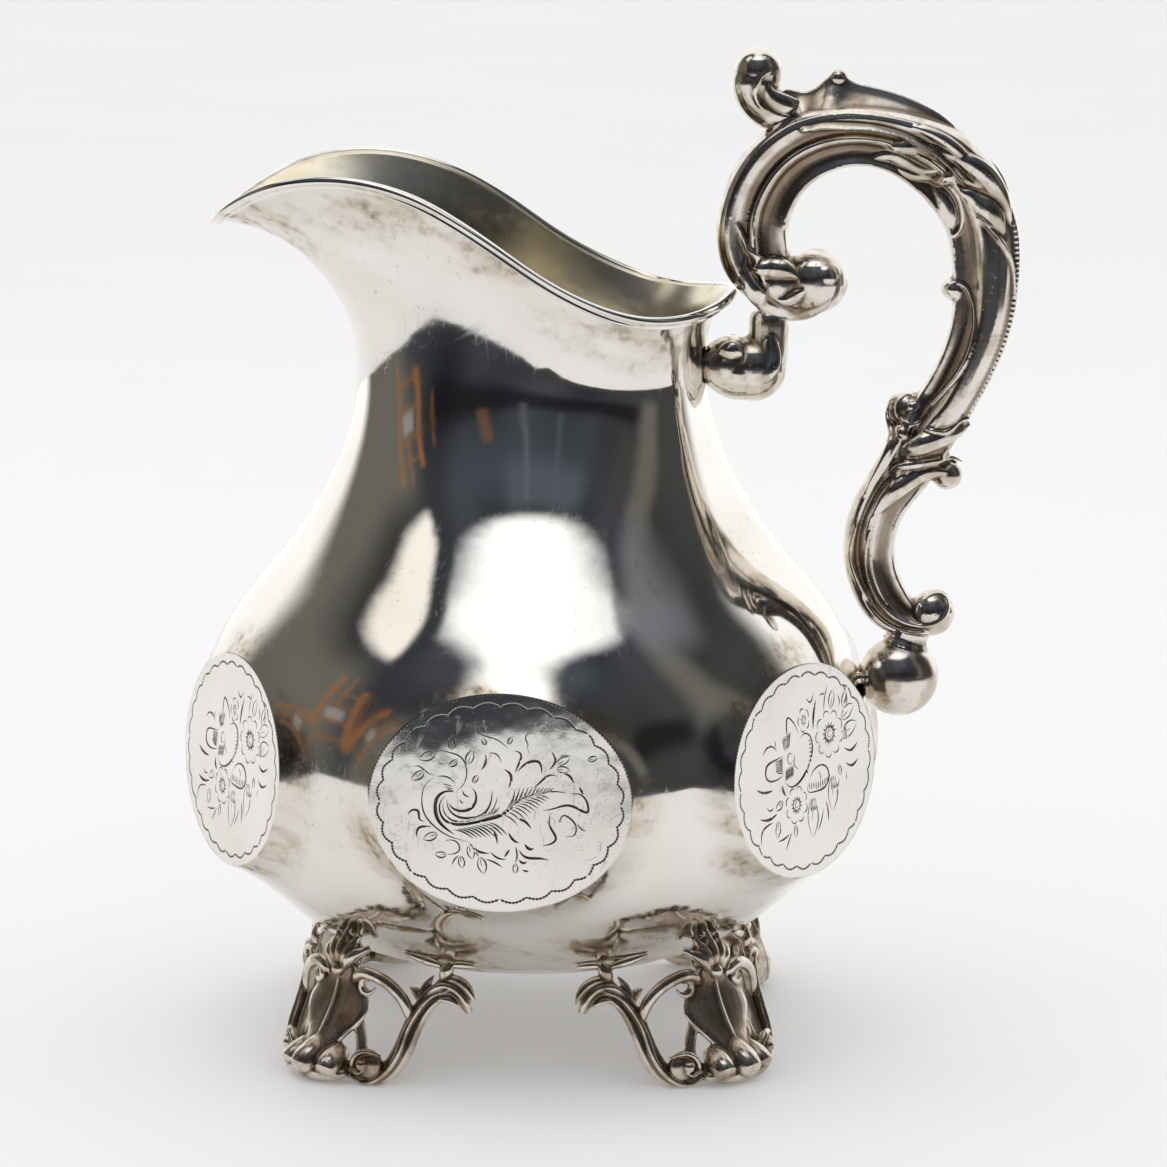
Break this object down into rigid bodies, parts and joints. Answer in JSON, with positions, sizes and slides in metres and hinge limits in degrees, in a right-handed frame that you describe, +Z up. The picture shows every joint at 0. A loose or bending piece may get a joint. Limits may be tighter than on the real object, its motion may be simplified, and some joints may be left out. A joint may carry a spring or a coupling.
{
  "type": "cream jug",
  "caption": "Footed silver cream jug with a pear-shaped body, flat oval bosses engraved with flowers, a wide wire-edged spout, a cast scroll handle and openwork feet.",
  "frame": {"origin": "on the surface the jug stands on, under the middle of its outline from above", "axes": "+Z is up, the spout points to -X, the handle to +X and the front boss faces -Y"},
  "size_m": [0.1355, 0.1094, 0.1624],
  "materials": {
    "body_silver": "hand-polished sheet silver with fine wear scratches, engraving and faint brown tarnish",
    "handle_silver": "cast silver, bright on the high places and brown with tarnish in the flutes",
    "foot_silver": "cast openwork silver, darkened with tarnish, bright along its edges"
  },
  "bodies": {
    "root": {"vessel_body": "body_silver", "base_disc": "body_silver", "rim_wire": "body_silver", "handle_half_front": "handle_silver", "handle_half_back": "handle_silver", "thumb_bud": "handle_silver", "neck_scroll": "handle_silver", "ball_half_front": "handle_silver", "ball_half_back": "handle_silver", "foot_front_left": "foot_silver", "foot_front_right": "foot_silver", "foot_back_right": "foot_silver", "foot_back_left": "foot_silver"}
  },
  "joints": []
}
